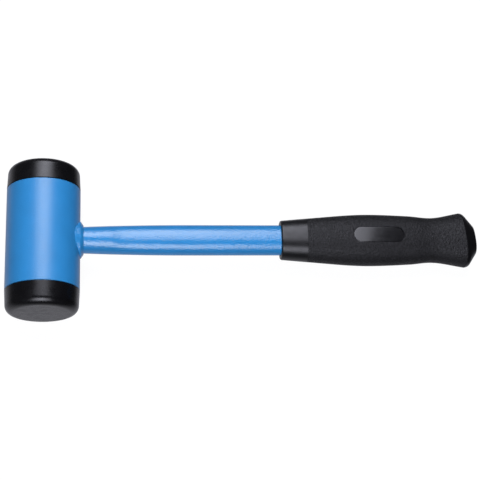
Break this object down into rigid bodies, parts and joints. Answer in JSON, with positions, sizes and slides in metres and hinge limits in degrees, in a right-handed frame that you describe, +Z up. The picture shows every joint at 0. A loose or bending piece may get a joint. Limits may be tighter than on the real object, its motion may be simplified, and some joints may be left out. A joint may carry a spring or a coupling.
{
  "type": "dead blow hammer",
  "caption": "Dead blow hammer with a shot-filled tubular steel head, replaceable screwed nylon faces, an oval tubular handle and a soft flared grip.",
  "frame": {"origin": "under the middle of the hammer's footprint, on the surface it lies on", "axes": "+X along the handle from the head to the grip, Y along the head from the front face (-Y) to the rear face (+Y), +Z up with the hammer lying on its side"},
  "size_m": [0.389, 0.124, 0.06],
  "materials": {
    "blue_paint": "semi-gloss light blue powder coat with a fine orange peel",
    "black_nylon": "satin black moulded nylon",
    "hard_black_plastic": "smooth satin black moulded plastic",
    "soft_black_rubber": "finely grained matt black soft grip",
    "badge_gloss": "blank glossy black inlay",
    "washer_rubber": "plain black rubber",
    "bare_steel": "bare machined steel"
  },
  "bodies": {
    "hammer": {"head_barrel": "blue_paint", "front_bulkhead": "bare_steel", "rear_bulkhead": "bare_steel", "neck_collar": "blue_paint", "neck_plug": "bare_steel", "handle_tube": "blue_paint", "handle_end_plug": "hard_black_plastic", "grip_core": "hard_black_plastic", "grip_cover": "soft_black_rubber", "grip_end_cap": "hard_black_plastic", "grip_badge": "badge_gloss"},
    "shot": {"shot_ball_01": "bare_steel", "shot_ball_02": "bare_steel", "shot_ball_03": "bare_steel", "shot_ball_04": "bare_steel", "shot_ball_05": "bare_steel", "shot_ball_06": "bare_steel", "shot_ball_07": "bare_steel", "shot_ball_08": "bare_steel", "shot_ball_09": "bare_steel", "shot_ball_10": "bare_steel", "shot_ball_11": "bare_steel", "shot_ball_12": "bare_steel", "shot_ball_13": "bare_steel", "shot_ball_14": "bare_steel", "shot_ball_15": "bare_steel", "shot_ball_16": "bare_steel", "shot_ball_17": "bare_steel", "shot_ball_18": "bare_steel", "shot_ball_19": "bare_steel", "shot_ball_20": "bare_steel"},
    "front_washer": {"front_face_washer": "washer_rubber"},
    "front_face": {"front_face": "black_nylon", "front_face_stud": "bare_steel"},
    "rear_washer": {"rear_face_washer": "washer_rubber"},
    "rear_face": {"rear_face": "black_nylon", "rear_face_stud": "bare_steel"}
  },
  "joints": [
    {"name": "shot_slide", "type": "slide", "parent": "hammer", "child": "shot", "axis": [0, 1, 0], "range_m": [-0.005, 0.005]},
    {"name": "front_face_advance", "type": "slide", "parent": "hammer", "child": "front_washer", "axis": [0, -1, 0], "range_m": [0, 0.005]},
    {"name": "front_face_turn", "type": "hinge", "parent": "front_washer", "child": "front_face", "pos_m": [-0.1645, -0.062, 0.03], "axis": [0, -1, 0], "range_deg": [0, 900]},
    {"name": "rear_face_advance", "type": "slide", "parent": "hammer", "child": "rear_washer", "axis": [0, 1, 0], "range_m": [0, 0.005]},
    {"name": "rear_face_turn", "type": "hinge", "parent": "rear_washer", "child": "rear_face", "pos_m": [-0.1645, 0.062, 0.03], "axis": [0, 1, 0], "range_deg": [0, 900]}
  ],
  "couplings": [
    {"joint": "front_face_advance", "follows": "front_face_turn", "m_per_rad": 0.000318},
    {"joint": "rear_face_advance", "follows": "rear_face_turn", "m_per_rad": 0.000318}
  ]
}
